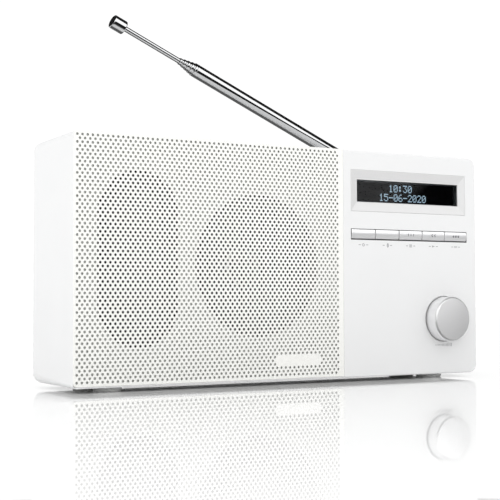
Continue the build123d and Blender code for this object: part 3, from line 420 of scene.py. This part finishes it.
def perforated_sheet():
    """The grille: a brick bond of cells two column steps wide and one row step high. A cell
    is its six outline points, a round hole's points, and the triangles between them; strips
    of plain metal join the outermost cells to the sheet's edges. A small patch of cells has
    no holes. Points past a rounded corner are drawn back onto its arc, and the sheet gets its
    thickness from Solidify."""
    low, high = corners("speaker_grille")
    half_w, half_h = COLUMN_STEP, ROW_STEP / 2
    outline = np.array([(half_w, half_h), (0, half_h), (-half_w, half_h),
                        (-half_w, -half_h), (0, -half_h), (half_w, -half_h)])
    turn = np.arange(HOLE_SIDES) * 2 * np.pi / HOLE_SIDES
    hole = HOLE_R * np.stack([np.cos(turn), np.sin(turn)], -1)
    angles = np.arctan2(outline[:, 1], outline[:, 0]) % (2 * np.pi)
    triangles = ring_triangles(angles, turn)
    cell = np.concatenate([outline, hole])

    rows = np.arange(HOLE_ROWS)
    width, height = high[0] - low[0], high[2] - low[2]
    columns = np.arange(int((width - HOLE_MARGIN_X) / COLUMN_STEP) - 1)
    i, j = np.meshgrid(columns, rows, indexing="ij")
    kept = (i + j) % 2 == 0
    i, j = i[kept], j[kept]
    solid = ((i >= PLAIN_COLUMNS[0]) & (i <= PLAIN_COLUMNS[1])
             & (j >= PLAIN_ROWS[0]) & (j <= PLAIN_ROWS[1]))
    middle = np.stack([HOLE_MARGIN_X + COLUMN_STEP * i, height - HOLE_MARGIN_Z - ROW_STEP * j], -1)
    pierced = (middle[~solid][:, None] + cell)[:, triangles].reshape(-1, 3, 2)
    plain = middle[solid][:, None] + outline

    # Strips beside the first and the last cell of each row
    last = columns.max()
    z_high = height - HOLE_MARGIN_Z - ROW_STEP * rows + half_h
    first_x = HOLE_MARGIN_X - COLUMN_STEP + COLUMN_STEP * (rows % 2)
    last_x = HOLE_MARGIN_X + COLUMN_STEP * (last - (last + rows) % 2 + 1)
    inner_left, outer_right = HOLE_MARGIN_X - COLUMN_STEP, HOLE_MARGIN_X + COLUMN_STEP * (last + 1)

    def strip(select, xs):
        """A polygon per chosen row through the x values, out along its foot and back on top."""
        z1 = z_high[select]
        z0 = z1 - ROW_STEP
        foot = [np.stack([np.full_like(z0, x), z0], -1) for x in xs]
        top = [np.stack([np.full_like(z1, x), z1], -1) for x in reversed(xs)]
        return np.stack(foot + top, 1)

    even, odd = rows % 2 == 0, rows % 2 == 1
    narrow_right = last_x == outer_right
    groups = [
        pierced, plain,
        strip(even, [0, inner_left]),
        strip(odd, [0, inner_left, first_x.max()]),
        strip(narrow_right, [outer_right, width]),
        strip(~narrow_right, [last_x.min(), outer_right, width]),
    ]
    edge_x = np.concatenate([[0], inner_left + COLUMN_STEP * np.arange(last + 3), [width]])
    for z0, z1 in ((z_high[0], height), (0, z_high[-1] - ROW_STEP)):
        left, right = edge_x[:-1], edge_x[1:]
        groups.append(np.stack([np.stack([x, np.full_like(x, z)], -1)
                                for x, z in ((left, z0), (right, z0), (right, z1), (left, z1))], 1))

    flat = np.concatenate([group.reshape(-1, 2) for group in groups])
    shared, index = np.unique(np.round(flat, 4), axis=0, return_inverse=True)
    index = index.ravel()
    faces, used = [], 0
    for group in groups:
        size = group.shape[0] * group.shape[1]
        faces += index[used:used + size].reshape(group.shape[:2]).tolist()
        used += size
    # Draw the two left corners onto their arcs
    for corner_z, side in ((GRILLE_CORNER, -1), (height - GRILLE_CORNER, 1)):
        away = shared - (GRILLE_CORNER, corner_z)
        far = np.linalg.norm(away, axis=1)
        past = (away[:, 0] < 0) & (away[:, 1] * side > 0) & (far > GRILLE_CORNER)
        shared[past] = (GRILLE_CORNER, corner_z) + away[past] / far[past, None] * GRILLE_CORNER
    points = loop_points([(shared + low[[0, 2]], low[1])])

    sheet = new_piece("perforated_grille", points, faces, "grille_paint", BODY, ["speaker_grille"])
    mesh = sheet.data
    if mesh.polygons[0].normal.y > 0:
        mesh.flip_normals()
    thick = sheet.modifiers.new("thickness", "SOLIDIFY")
    thick.thickness = SHEET_T * MM
    thick.offset = -1


def grille_fold():
    """The sheet's folded edge: a thin wall behind its outline, swept round the rectangle."""
    low, high = corners("speaker_grille")
    turn = np.linspace(0, np.pi / 2, 9)
    quarter = np.stack([np.cos(turn), np.sin(turn)], -1)
    seats, bends = [], []
    for z, quarters in ((high[2] - GRILLE_CORNER, 1), (low[2] + GRILLE_CORNER, 2)):
        c, s = math.cos(quarters * math.pi / 2), math.sin(quarters * math.pi / 2)
        bends.append(quarter @ np.array([(c, s), (-s, c)]))
        seats.append(np.array([low[0] + GRILLE_CORNER, z]) + GRILLE_CORNER * bends[-1])
    outer = np.concatenate([*seats, [(high[0], low[2]), (high[0], high[2])]])
    inner = outer + np.concatenate([-bends[0], -bends[1], [(-1, 1), (-1, -1)]]) * FOLD_WALL
    front, back = low[1] + SHEET_T, high[1]
    points = loop_points([(outer, front), (outer, back), (inner, back), (inner, front)])
    faces = grid_faces(4, len(outer), wrap_rows=True, wrap_columns=True)
    new_piece("grille_fold", points, faces, "grille_paint", BODY)


# ---------------------------------------------------------------- buttons
BUTTON_NAMES = ["power_button", "band_button", "menu_button", "back_button", "preset_button"]
CAP_BULGE = 0.45
CAP_CREST = 0.25
CAP_INSET = 0.10
FLANGE_LAP = 1.0
CAP_GAP_BELOW = 0.68
CAP_GAP_ABOVE = 0.36
CAP_CORNER = 0.4
CAP_EDGE = ((0, 0.22), (0.03, 0.10), (0.10, 0.03), (0.20, 0))
CAP_RINGS = (0.97, 0.92, 0.8, 0.6, 0.4, 0.2, 0)
CAP_DEPTH = 3.0


def cap_front(node, x, z):
    """Depth of a button's convex front: a parabola across its height, highest a little above
    the middle, y = front + bulge * (t - crest)^2 with t the height over half the height."""
    low, high = cap_box(node)
    middle, half = (low[2] + high[2]) / 2, (high[2] - low[2]) / 2
    return low[1] + CAP_BULGE * ((z - middle) / half - CAP_CREST) ** 2


def cap_box(node):
    """The visible block of a button: its box without the flange behind the panel."""
    low, high = corners(node)
    return (low + (CAP_INSET, 0, FLANGE_LAP + CAP_GAP_BELOW),
            high - (CAP_INSET, 0, FLANGE_LAP + CAP_GAP_ABOVE))


def rounded_rectangle(half_w, half_h, corner, per_corner=6, per_side=9):
    """Points of a rounded rectangle about the origin, with points along its straight sides."""
    turn = np.linspace(0, np.pi / 2, per_corner)
    along = np.linspace(0, 1, per_side + 2)[1:-1, None]
    arcs = []
    for quarter, (sx, sz) in enumerate(((1, 1), (-1, 1), (-1, -1), (1, -1))):
        angle = turn + quarter * np.pi / 2
        seat = np.array([sx * (half_w - corner), sz * (half_h - corner)])
        arcs.append(seat + corner * np.stack([np.cos(angle), np.sin(angle)], -1))
    pieces = []
    for arc, following in zip(arcs, arcs[1:] + arcs[:1]):
        pieces += [arc, arc[-1] + along * (following[0] - arc[-1])]
    return np.concatenate(pieces)


def button_caps():
    """Each cap is rings of a rounded rectangle: a wall that runs back into the panel, a
    softened edge, and ever smaller rings on the convex front down to its middle."""
    for node in BUTTON_NAMES:
        low, high = cap_box(node)
        size = (high - low)[[0, 2]] / 2
        place = ((high + low) / 2)[[0, 2]]
        outline = rounded_rectangle(*size, CAP_CORNER)
        back = low[1] + CAP_DEPTH
        loops = [(outline * 0 + place, back), (outline + place, back)]
        for inset, sunk in CAP_EDGE:
            loop = outline * (1 - inset / size) + place
            loops.append((loop, cap_front(node, *loop.T) + sunk))
        inner = outline * (1 - CAP_EDGE[-1][0] / size)
        for share in CAP_RINGS:
            loop = inner * share + place
            loops.append((loop, cap_front(node, *loop.T)))
        faces = grid_faces(len(loops), len(outline), wrap_columns=True)
        new_piece(f"{node}_cap", loop_points(loops), faces, "button_gloss", node, [node])


# ---------------------------------------------------------------- painted shade: black liners
# Sizes of the black liners that paint shade into the openings and of the painted shadow band round the buttons
LINER_T = 0.12
LINER_GAP = 0.02
LINER_SIDES = 96
SPEAKER_LINER_R = 38.7
RADIATOR_LINER_W, RADIATOR_LINER_H, RADIATOR_LINER_CORNER = 45.8, 91.8, 22.8
SLOT_W = 85.85
SLOT_H = 6.4
SLOT_CORNER = 0.05
SHADOW_BAND_SINK = 0.12
SHADOW_BAND_BELOW = 0.60
SHADOW_BAND_ABOVE = 0.30


def drawn_in(outline, thickness):
    """An outline made smaller about its middle by a thickness on every side."""
    low, high = outline.min(0), outline.max(0)
    middle, half = (high + low) / 2, (high - low) / 2
    return middle + (outline - middle) * (1 - thickness / half)


def painted_shade_liners():
    """Painted shade: thin black sheets on the walls of the speaker's and the radiator's openings,
    for the shade inside them, and a thicker black band round the row of buttons, thickest below
    it, a painted shadow in the gaps round the caps. Each is a closed loop of the opening's
    outline, from near the front to the wall's back."""
    sheet_back = corners("speaker_grille")[1][1] + LINER_GAP
    wall_back = corners("speaker_gasket")[0][1] - LINER_GAP
    turn = np.linspace(0, 2 * np.pi, LINER_SIDES, endpoint=False)
    circle = SPEAKER_LINER_R * np.stack([np.cos(turn), np.sin(turn)], -1)
    circle = circle + centre("speaker_cone")[[0, 2]]
    stadium = rounded_rectangle(RADIATOR_LINER_W / 2, RADIATOR_LINER_H / 2,
                                RADIATOR_LINER_CORNER, 24, 3) + centre("radiator_frame")[[0, 2]]
    slot = rounded_rectangle(SLOT_W / 2 - LINER_GAP, SLOT_H / 2 - LINER_GAP,
                             SLOT_CORNER, 3, 1) + centre("menu_button")[[0, 2]]
    shadow_band = np.array([LINER_T * 2, (SHADOW_BAND_BELOW + SHADOW_BAND_ABOVE) / 2])
    rise = (SHADOW_BAND_BELOW - SHADOW_BAND_ABOVE) / 2
    shadow_band_front = corners("cabinet")[0][1] + SHADOW_BAND_SINK
    for name, outer, inner, front in (
            ("speaker_painted_shade", circle, drawn_in(circle, LINER_T), sheet_back),
            ("radiator_painted_shade", stadium, drawn_in(stadium, LINER_T), sheet_back),
            ("button_slot_painted_shadow", slot, drawn_in(slot, shadow_band) + (0, rise), shadow_band_front)):
        points = loop_points([(outer, front), (outer, wall_back),
                              (inner, wall_back), (inner, front)])
        faces = grid_faces(4, len(outer), wrap_rows=True, wrap_columns=True)
        # Painted shade: the black foam material here stands for shade, not for a real lining
        new_piece(name, points, faces, "foam", BODY)


# ---------------------------------------------------------------- signs and painted shadows of screw recesses
INK_W = 0.34
INK_T = 0.08
INK_PROUD = 0.03
CAP_INK_W = 0.5
CAP_SIGN_RISE = 0.45
MARK_DROP = 6.0
SIDE_BAR = (1.9, 3.4)
WEDGE_DROP = 15.5
WEDGE_HALF_W = 6
WEDGE_BARS = 13
WEDGE_START = 0.3
WEDGE_GROWTH = 0.06
SCREW_HEAD_R = 2.7
RECESS_ARM = 1.7
RECESS_W = 0.75
RECESS_SINK = 0.01


def ink_lines(lines, width, depth):
    """Thin raised strokes. Each line is a row of (x, z) points; the stroke's edges lie half a
    width to each side along the normal of the line, its front just before depth(x, z)."""
    points, faces = [], []
    for line in lines:
        line = np.asarray(line, float)
        along = np.gradient(line, axis=0)
        along /= np.linalg.norm(along, axis=1)[:, None]
        side = np.stack([-along[:, 1], along[:, 0]], -1) * width / 2
        left, right = line + side, line - side
        count = len(line)
        start = sum(len(block) for block in points)
        loop = []
        for edge, behind in ((left, 0), (right, 0), (right, INK_T), (left, INK_T)):
            y = depth(edge[:, 0], edge[:, 1]) - INK_PROUD + behind
            loop.append(np.stack([edge[:, 0], y, edge[:, 1]], -1))
        points.append(np.stack(loop, 1).reshape(-1, 3))
        faces += (np.array(grid_faces(count, 4, wrap_columns=True)) + start).tolist()
        faces += [[start, start + 1, start + 2, start + 3],
                  [start + 4 * count - 1 - k for k in range(4)]]
    return np.concatenate(points), faces


def arc_line(cx, cz, radius, first, last, steps=12):
    """Points of an arc about (cx, cz), angles in degrees."""
    turn = np.radians(np.linspace(first, last, steps))
    return np.stack([cx + radius * np.cos(turn), cz + radius * np.sin(turn)], -1)


def level_with(depth):
    """The depth function of a flat face."""
    return lambda x, z: np.full_like(x, depth)


def marks():
    """Generic signs: under each button a sign between two short bars, one on each of three
    caps, and under the knob a rising volume wedge."""
    printed = moulded("printed_ink", (0.30, 0.30, 0.31), 0.5, 0.3, 0.002)
    # A ring with a bar, three waves, three lines, an arrow, and three bars
    signs = [
        [arc_line(0, 0, 0.75, 125, 415), [(0, 0.2), (0, 1.0)]],
        [arc_line(-0.6, 0, 0.5, -60, 60), arc_line(-0.6, 0, 1.0, -60, 60),
         arc_line(-0.6, 0, 1.5, -60, 60)],
        [[(-1.0, 0.6), (1.0, 0.6)], [(-1.0, 0), (1.0, 0)], [(-1.0, -0.6), (1.0, -0.6)]],
        [[(0.9, 0), (-0.9, 0)], [(-0.2, 0.65), (-0.9, 0), (-0.2, -0.65)]],
        [[(-0.9, -0.6), (-0.9, 0.6)], [(0, -0.6), (0, 0.6)], [(0.9, -0.6), (0.9, 0.6)]],
    ]
    lines = []
    for node, sign in zip(BUTTON_NAMES, signs):
        place = centre(node)[[0, 2]] - (0, MARK_DROP)
        lines += [np.asarray(line) + place for line in sign]
        lines += [np.array([(side * reach, 0) for reach in SIDE_BAR]) + place for side in (-1, 1)]
    under = centre("knob_cap")[[0, 2]] - (0, WEDGE_DROP)
    for n, x in enumerate(np.linspace(-WEDGE_HALF_W, WEDGE_HALF_W, WEDGE_BARS)):
        half = WEDGE_START + WEDGE_GROWTH * n
        lines.append(np.array([(x, -half), (x, half)]) + under)
    points, faces = ink_lines(lines, INK_W, level_with(corners("cabinet")[0][1]))
    new_piece("panel_marks", points, faces, None, BODY, material=printed)

    caps = {
        "menu_button": [[(x, -0.7), (x, 0.7)] for x in (-1.9, 0, 1.9)],
        "back_button": [[(x + 0.9, 0.75), (x, 0), (x + 0.9, -0.75)] for x in (-1.6, 0.4)],
        "preset_button": [arc_line(x, -0.2, 0.4, 0, 330) for x in (-1.9, 0, 1.9)],
    }
    engraved = moulded("engraved_ink", (0.10, 0.10, 0.11), 0.6, 0.3, 0.002)
    for node, sign in caps.items():
        place = centre(node)[[0, 2]] + (0, CAP_SIGN_RISE)
        lines = [np.asarray(line) + place for line in sign]
        points, faces = ink_lines(lines, CAP_INK_W, lambda x, z, node=node: cap_front(node, x, z))
        new_piece(f"{node}_sign", points, faces, None, node, material=engraved)


def screw_recess_shadows():
    """The cross recess in each rear screw as painted shadow: two dark strokes across the head,
    where the recess would be in shade. The heads lie in two rows of three, their middles a
    head's radius inside the corners of the screws' box."""
    low, high = corners("cover_screws")
    face = high[1] - RECESS_SINK
    lines = []
    for x in (low[0] + SCREW_HEAD_R, (low[0] + high[0]) / 2, high[0] - SCREW_HEAD_R):
        for z in (low[2] + SCREW_HEAD_R, high[2] - SCREW_HEAD_R):
            lines.append([(x - RECESS_ARM, z), (x + RECESS_ARM, z)])
            lines.append([(x, z - RECESS_ARM), (x, z + RECESS_ARM)])
    # Painted shade: the dark strokes stand in for the shade inside each recess
    dark = moulded("recess_shadow", (0.02, 0.02, 0.02), 0.7, 0.3, 0.002)
    points, faces = ink_lines(lines, RECESS_W, level_with(face))
    new_piece("screw_recess_shadows", points, faces, None, BODY, material=dark)


# ---------------------------------------------------------------- knob
KNOB_WALL = 1.2
KNOB_FACE = 1.5
KNOB_BEVEL = 0.8
KNOB_LIP = (0.3, 0.25)
KNOB_DRAFT = 0.1
KNOB_EDGE_R = 0.12
KNOB_INNER_R = 0.2


def knob_shell():
    """The knob's metal shell: a cup turned round the shaft, with a flat face, a narrow bevel
    and a thin lip at the open end."""
    low, high = corners("knob_cap")
    radius, depth = (high[0] - low[0]) / 2, high[1] - low[1]
    bore = radius - KNOB_WALL
    outside = rounded([(0, 0), (0, radius - KNOB_BEVEL), (KNOB_BEVEL, radius),
                       (depth - KNOB_LIP[0], radius), (depth, radius - KNOB_LIP[1])], KNOB_EDGE_R)
    inside = rounded([(depth, bore + KNOB_DRAFT), (KNOB_FACE, bore), (KNOB_FACE, 0)], KNOB_INNER_R)
    profile = np.concatenate([outside, inside])
    middle = centre("knob_cap")
    lathe("knob_shell", profile, (middle[0], low[1], middle[2]), KNOB_AXIS, "satin_metal",
          "knob", ["knob_cap"], closed=False, sides=128, crease=18)


# ---------------------------------------------------------------- antenna
MAST_D = 8.2
MAST_STEP = 1.0
TUBE_WALL = 0.43
TUBE_EDGE_R = 0.12
TUBE_MOUTH = (0.35, 0.3)
GROOVE = ((2.0, 0), (1.75, 0.12), (1.5, 0))
ROD_R = 1.6
TIP_NEAR = (0.4, 0.2)
TIP_FAR = (0.5, 0.7)
TIP_EDGE_R = 0.5


def mast_piece(name, profile, body, stands_for, closed):
    """A chrome piece turned round the mast, its profile measured from the tilt pin."""
    lathe(name, profile, PIVOT, MAST_DIR, "chrome", body, [stands_for], closed, sides=48, crease=25)


def antenna_pieces():
    """The telescopic mast: each tube is spun in at its mouth over the next one, and a small
    groove behind the mouth marks where it was rolled."""
    for n in range(5):
        node = f"antenna_section_{n + 1}"
        start, end = along_mast(node)
        outer = (MAST_D - MAST_STEP * n) / 2
        bore = outer - TUBE_WALL
        groove = [(end - back, outer - sunk) for back, sunk in GROOVE]
        profile = [(start, outer), *groove, (end - TUBE_MOUTH[0], outer),
                   (end, outer - TUBE_MOUTH[1]), (end, bore), (start, bore)]
        profile = rounded(profile, TUBE_EDGE_R, closed=True, steps=3)
        mast_piece(f"mast_tube_{n + 1}", profile, "antenna_mast" if n == 0 else node, node, True)
    start, end = along_mast("antenna_rod")
    mast_piece("mast_rod", [(start, 0), (start, ROD_R), (end, ROD_R), (end, 0)], "antenna_rod",
               "antenna_rod", False)
    start, end = along_mast("antenna_tip")
    outer = MAST_D / 2
    cap = rounded([(start, 0), (start, outer - TIP_NEAR[1]), (start + TIP_NEAR[0], outer),
                   (end - TIP_FAR[0], outer), (end, outer - TIP_FAR[1]), (end, 0)],
                  TIP_EDGE_R, steps=5)
    mast_piece("mast_tip", cap, "antenna_rod", "antenna_tip", False)


# ---------------------------------------------------------------- display
GLYPHS = {
    "0": "01110 10001 10011 10101 11001 10001 01110",
    "1": "00100 01100 00100 00100 00100 00100 01110",
    "2": "01110 10001 00001 00010 00100 01000 11111",
    "3": "11111 00010 00100 00010 00001 10001 01110",
    "5": "11111 10000 11110 00001 00001 10001 01110",
    "6": "00110 01000 10000 11110 10001 10001 01110",
    ":": "00000 01100 01100 00000 01100 01100 00000",
    "-": "00000 00000 00000 11111 00000 00000 00000",
}
CHARACTER_STEP = 3.51
DOT_STEP = (0.60, 0.62)
DOT_SIZE = (0.48, 0.54)
LINE_STEP = 5.4
FIRST_COLUMN_FROM_LEFT = 7.9
FIRST_DOT = 0.7
FIRST_LINE_FROM_TOP = 3.9
WINDOW_W = 74.8
WINDOW_H = 12.9
DOT_GAP = 0.05
DOT_T = 0.04


def lit_dots():
    """The lit dots of the two lines: each a flat tile standing just in front of the panel
    glass, at character column and line, then dot column and row within the character."""
    window = centre("display_lens")
    front = corners("lcd_glass")[0][1] - DOT_GAP
    left = window[0] - WINDOW_W / 2 + FIRST_COLUMN_FROM_LEFT
    top = window[2] + WINDOW_H / 2 - FIRST_LINE_FROM_TOP
    spots = []
    for text, column, line in (("10:30", 5, 0), ("15-06-2020", 3, 1)):
        for place, letter in enumerate(text):
            rows = np.array([[c == "1" for c in row] for row in GLYPHS[letter].split()])
            down, over = np.nonzero(rows)
            x = left + (column + place) * CHARACTER_STEP + (over + FIRST_DOT) * DOT_STEP[0]
            z = top - line * LINE_STEP + (3 - down) * DOT_STEP[1]
            spots.append(np.stack([x, z], -1))
    spots = np.concatenate(spots)
    square = np.array([(-1, -1), (1, -1), (1, 1), (-1, 1)]) * (np.array(DOT_SIZE) / 2)
    tiles = (spots[:, None] + square).reshape(-1, 2)
    points = loop_points([(tiles, front), (tiles, front + DOT_T)])
    count = len(tiles)
    base = np.arange(0, count, 4)[:, None]
    faces = (base + [0, 1, 2, 3]).tolist() + (base + count + [3, 2, 1, 0]).tolist()
    for k in range(4):
        n = (k + 1) % 4
        faces += (base + [n, k, count + k, count + n]).tolist()
    glow = finish_of("lit_dots", (0.02, 0.03, 0.04), 0.5, Emission_Strength=1.15)
    shader = glow.node_tree.nodes["Principled BSDF"]
    shader.inputs["Emission Color"].default_value = (0.62, 0.84, 1.0, 1)
    new_piece("display_dots", points, faces, None, BODY, material=glow)


# ---------------------------------------------------------------- floor, light and camera
CAMERA_PLACE = Vector((-361.5, -590.7, 47.5))
CAMERA_RIGHT = Vector((0.8606, -0.5094, -0.0028))
CAMERA_UP = Vector((-0.0181, -0.0361, 0.9993))
LENS = 86.72
SENSOR_W = 36
FLOOR_FRONT = -420
FLOOR_REACH = 4000
FLOOR_GLOSS_SIZE, FLOOR_GLOSS = 60, (0.012, 0.03)


def studio_floor():
    """A pale polished table top, from a front edge out to far behind."""
    points = [(-FLOOR_REACH, FLOOR_FRONT, 0), (FLOOR_REACH, FLOOR_FRONT, 0),
              (FLOOR_REACH, FLOOR_REACH, 0), (-FLOOR_REACH, FLOOR_REACH, 0)]
    surface = finish_of("floor", (0.86, 0.86, 0.86), 0.02, IOR=1.38)
    vary_roughness(surface, FLOOR_GLOSS_SIZE, *FLOOR_GLOSS)
    mesh = bpy.data.meshes.new("floor")
    mesh.from_pydata((np.array(points) * MM).tolist(), [], [(0, 1, 2, 3)])
    mesh.materials.append(surface)
    floor = bpy.data.objects.new("floor", mesh)
    bpy.context.scene.collection.objects.link(floor)


SOFTBOX_EDGE = (-0.697, -0.437, 1.0)
SOFTBOX_BLUR = 0.02
SOFTBOX_BACK = -0.5
SOFTBOX_FOOT = 0.02
SOFTBOX_LEVEL = 1.85
BACKDROP_TOP = 0.16
DARK_STUDIO = 0.02
SKY_LEVEL = 1.2
SKY_TILT = (-0.42, 0.0, 0.18)
SKY_LEAST = 1.12
CAMERA_WHITE = 1.05
# Each card's name, its nearest and farthest y, and its tone
CARD_TONES = (("dark_card", FLOOR_FRONT, -250, 0.02), ("front_card", -250, -36, 0.20),
              ("rear_card", 46, 500, 0.16))
CARD_LEFT, CARD_RIGHT, CARD_HEIGHT = -700, 900, 0.3


def surroundings():
    """The studio. The camera meets a white backdrop. Reflections meet a softbox in front, a
    low white backdrop behind the table, and darkness elsewhere. The softbox fills the part of
    the sky where direction times SOFTBOX_EDGE is positive, y is below SOFTBOX_BACK and z is
    above SOFTBOX_FOOT. Soft light comes from all round, stronger from above and the left."""
    world = bpy.data.worlds.new("studio")
    bpy.context.scene.world = world
    world.use_nodes = True
    nodes, links = world.node_tree.nodes, world.node_tree.links

    def step(operation, *inputs):
        """A Math node whose inputs are numbers or other nodes' outputs."""
        node = nodes.new("ShaderNodeMath")
        node.operation = operation
        for socket, value in zip(node.inputs, inputs):
            if isinstance(value, (int, float)):
                socket.default_value = value
            else:
                links.new(value, socket)
        return node.outputs["Value"]

    def facing(direction):
        """How far the ray's direction points along a given one."""
        dot = nodes.new("ShaderNodeVectorMath")
        dot.operation = "DOT_PRODUCT"
        dot.inputs[1].default_value = direction
        links.new(ray.outputs["Generated"], dot.inputs[0])
        return dot.outputs["Value"]

    ray = nodes.new("ShaderNodeTexCoord")
    path = nodes.new("ShaderNodeLightPath")
    axes = nodes.new("ShaderNodeSeparateXYZ")
    links.new(ray.outputs["Generated"], axes.inputs["Vector"])
    edge = step("DIVIDE", facing(SOFTBOX_EDGE), SOFTBOX_BLUR)
    softbox = step("MINIMUM", step("MAXIMUM", step("ADD", edge, 0.5), 0.0), 1.0)
    ahead = step("LESS_THAN", axes.outputs["Y"], SOFTBOX_BACK)
    raised = step("GREATER_THAN", axes.outputs["Z"], SOFTBOX_FOOT)
    inside = step("MULTIPLY", ahead, raised)
    softbox = step("MULTIPLY", step("MULTIPLY", softbox, inside), SOFTBOX_LEVEL)
    low = step("LESS_THAN", axes.outputs["Z"], BACKDROP_TOP)
    behind = step("GREATER_THAN", axes.outputs["Y"], 0.0)
    backdrop = step("MULTIPLY", low, behind)
    mirrored = step("MAXIMUM", step("MAXIMUM", softbox, backdrop), DARK_STUDIO)
    ambient = step("MAXIMUM", step("ADD", facing(SKY_TILT), SKY_LEVEL), SKY_LEAST)
    glossy = path.outputs["Is Glossy Ray"]
    camera = path.outputs["Is Camera Ray"]
    level = step("ADD", ambient, step("MULTIPLY", glossy, step("SUBTRACT", mirrored, ambient)))
    level = step("ADD", level, step("MULTIPLY", camera, step("SUBTRACT", CAMERA_WHITE, level)))
    nodes["Background"].inputs["Color"].default_value = (1, 1, 1, 1)
    links.new(level, nodes["Background"].inputs["Strength"])


def reflection_cards():
    """Grey cards lying on the table, seen only in the radio's reflections and only from above."""
    for name, front, back, tone in CARD_TONES:
        material = bpy.data.materials.new(name)
        material.use_nodes = True
        nodes, links = material.node_tree.nodes, material.node_tree.links
        nodes.remove(nodes["Principled BSDF"])
        glow = nodes.new("ShaderNodeEmission")
        glow.inputs["Strength"].default_value = tone
        clear = nodes.new("ShaderNodeBsdfTransparent")
        side = nodes.new("ShaderNodeNewGeometry")
        mix = nodes.new("ShaderNodeMixShader")
        links.new(side.outputs["Backfacing"], mix.inputs["Fac"])
        links.new(glow.outputs["Emission"], mix.inputs[1])
        links.new(clear.outputs["BSDF"], mix.inputs[2])
        links.new(mix.outputs["Shader"], nodes["Material Output"].inputs["Surface"])
        points = [(x, y, CARD_HEIGHT) for x, y in ((CARD_LEFT, front), (CARD_RIGHT, front),
                                                   (CARD_RIGHT, back), (CARD_LEFT, back))]
        mesh = bpy.data.meshes.new(name)
        mesh.from_pydata((np.array(points) * MM).tolist(), [], [(0, 1, 2, 3)])
        mesh.materials.append(material)
        card = bpy.data.objects.new(name, mesh)
        for ray_kind in ("camera", "diffuse", "shadow", "transmission", "volume_scatter"):
            setattr(card, f"visible_{ray_kind}", False)
        bpy.context.scene.collection.objects.link(card)


def place_camera():
    """The camera, to the front left, about a third of the radio's height up and tilted up a
    little."""
    lens = bpy.data.cameras.new("camera")
    lens.lens = LENS
    lens.sensor_width = SENSOR_W
    lens.clip_start, lens.clip_end = 0.01, 50
    camera = bpy.data.objects.new("camera", lens)
    back = CAMERA_RIGHT.cross(CAMERA_UP)
    turn = Matrix((CAMERA_RIGHT, CAMERA_UP, back)).transposed().normalized()
    camera.matrix_world = Matrix.Translation(CAMERA_PLACE * MM) @ turn.to_4x4()
    bpy.context.scene.collection.objects.link(camera)
    bpy.context.scene.camera = camera


perforated_sheet()
grille_fold()
button_caps()
painted_shade_liners()
marks()
screw_recess_shadows()
knob_shell()
antenna_pieces()
lit_dots()
studio_floor()
reflection_cards()
surroundings()
place_camera()
bpy.context.scene.view_settings.view_transform = "Standard"
